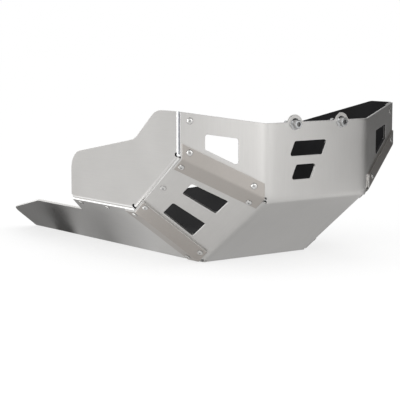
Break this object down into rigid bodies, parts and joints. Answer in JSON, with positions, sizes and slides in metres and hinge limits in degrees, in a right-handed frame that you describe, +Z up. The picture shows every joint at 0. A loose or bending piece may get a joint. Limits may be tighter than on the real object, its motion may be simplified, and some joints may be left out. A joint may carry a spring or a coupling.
{
  "type": "motorcycle skid plate",
  "caption": "Folded aluminium engine guard with an upright front panel, windowed facets, a long flat belly and tall side plates, riveted together for fixing under a motorcycle.",
  "frame": {"origin": "under the middle of the part, on the plane of the belly's underside", "axes": "+Z up, +Y towards the rear of the vehicle, -X towards the vehicle's right-hand side"},
  "size_m": [0.4156, 0.644, 0.2345],
  "materials": {
    "plate": "satin anodised",
    "strip": "satin anodised, slightly darker",
    "rivet": "plain",
    "bolt": "zinc plated"
  },
  "bodies": {
    "root": {"main_plate": "plate", "right_side_plate": "plate", "left_side_plate": "plate", "right_upper_strip": "strip", "left_upper_strip": "strip", "right_lower_strip": "strip", "left_lower_strip": "strip", "right_upper_strip_rivets": "rivet", "left_upper_strip_rivets": "rivet", "right_lower_strip_rivets": "rivet", "left_lower_strip_rivets": "rivet", "right_side_plate_rivets": "rivet", "left_side_plate_rivets": "rivet", "right_front_bolt": "bolt", "left_front_bolt": "bolt"}
  },
  "joints": []
}
